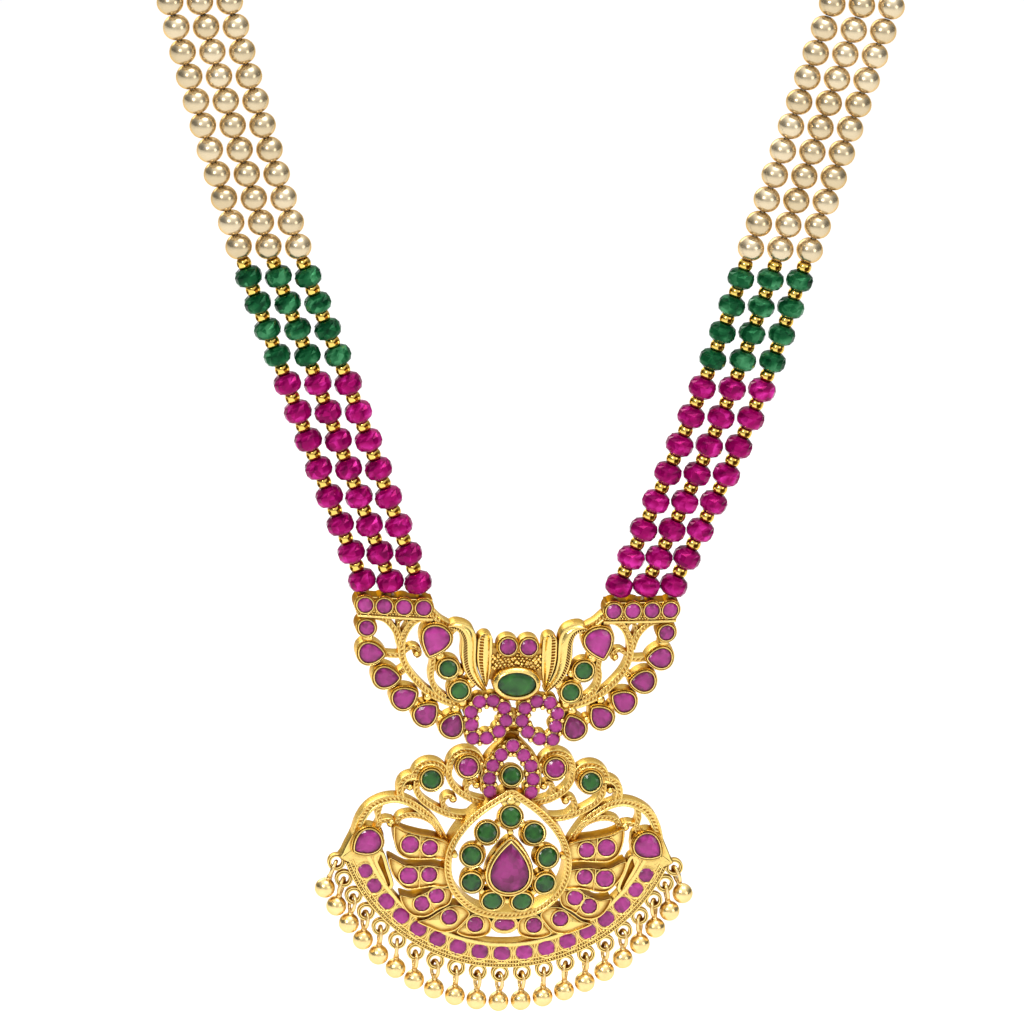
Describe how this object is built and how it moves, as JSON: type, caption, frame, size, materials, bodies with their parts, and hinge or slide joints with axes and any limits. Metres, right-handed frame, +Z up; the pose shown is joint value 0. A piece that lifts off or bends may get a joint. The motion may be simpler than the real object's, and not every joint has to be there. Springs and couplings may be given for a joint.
{
  "type": "layered necklace",
  "caption": "Three-string long necklace of pearls, emerald and ruby rondelles with a pierced gold crescent and a hinged fan pendant fringed with ball drops.",
  "frame": {"origin": "the middle of the nape, in the middle of the clasp's height, under which the strings hang", "axes": "+X to the right of someone facing the necklace, -Y the way its front looks, +Z up"},
  "size_m": [0.1324, 0.1137, 0.2421],
  "materials": {
    "gold": "polished gold plate",
    "drop_gold": "satin gold plate",
    "ruby": "cut and polished",
    "green": "cut and polished",
    "pearl": "pearl lustre",
    "emerald_bead": "faceted, nearly opaque",
    "ruby_bead": "faceted, clear",
    "thread": "twisted"
  },
  "bodies": {
    "necklace": {"crescent_plate": "gold", "clasp": "gold", "bar_rubies": "ruby", "edge_pears": "ruby", "large_pears": "ruby", "crescent_greens": "green", "oval_green": "green", "top_rubies": "ruby", "pearls_left_inner": "pearl", "pearls_left_middle": "pearl", "pearls_left_outer": "pearl", "pearls_right_inner": "pearl", "pearls_right_middle": "pearl", "pearls_right_outer": "pearl", "emeralds_left_inner": "emerald_bead", "emeralds_left_middle": "emerald_bead", "emeralds_left_outer": "emerald_bead", "emeralds_right_inner": "emerald_bead", "emeralds_right_middle": "emerald_bead", "emeralds_right_outer": "emerald_bead", "rubies_left_inner": "ruby_bead", "rubies_left_middle": "ruby_bead", "rubies_left_outer": "ruby_bead", "rubies_right_inner": "ruby_bead", "rubies_right_middle": "ruby_bead", "rubies_right_outer": "ruby_bead", "thread_left_inner": "thread", "thread_left_middle": "thread", "thread_left_outer": "thread", "thread_right_inner": "thread", "thread_right_middle": "thread", "thread_right_outer": "thread", "upper_string_left_inner": "pearl", "upper_string_left_middle": "pearl", "upper_string_left_outer": "pearl", "upper_string_right_inner": "pearl", "upper_string_right_middle": "pearl", "upper_string_right_outer": "pearl"},
    "pendant": {"fan_pendant": "gold", "fan_drops": "drop_gold", "band_rubies": "ruby", "leaf_rubies": "ruby", "halo_greens": "green", "centre_pear": "ruby", "arch_green": "green", "outer_greens": "green", "shoulder_rubies": "ruby", "end_rubies": "ruby"}
  },
  "joints": [
    {"name": "pendant_swing", "type": "hinge", "parent": "necklace", "child": "pendant", "pos_m": [0, 0.002, -0.1897], "axis": [1, 0, 0], "range_deg": [-9, 20]}
  ]
}
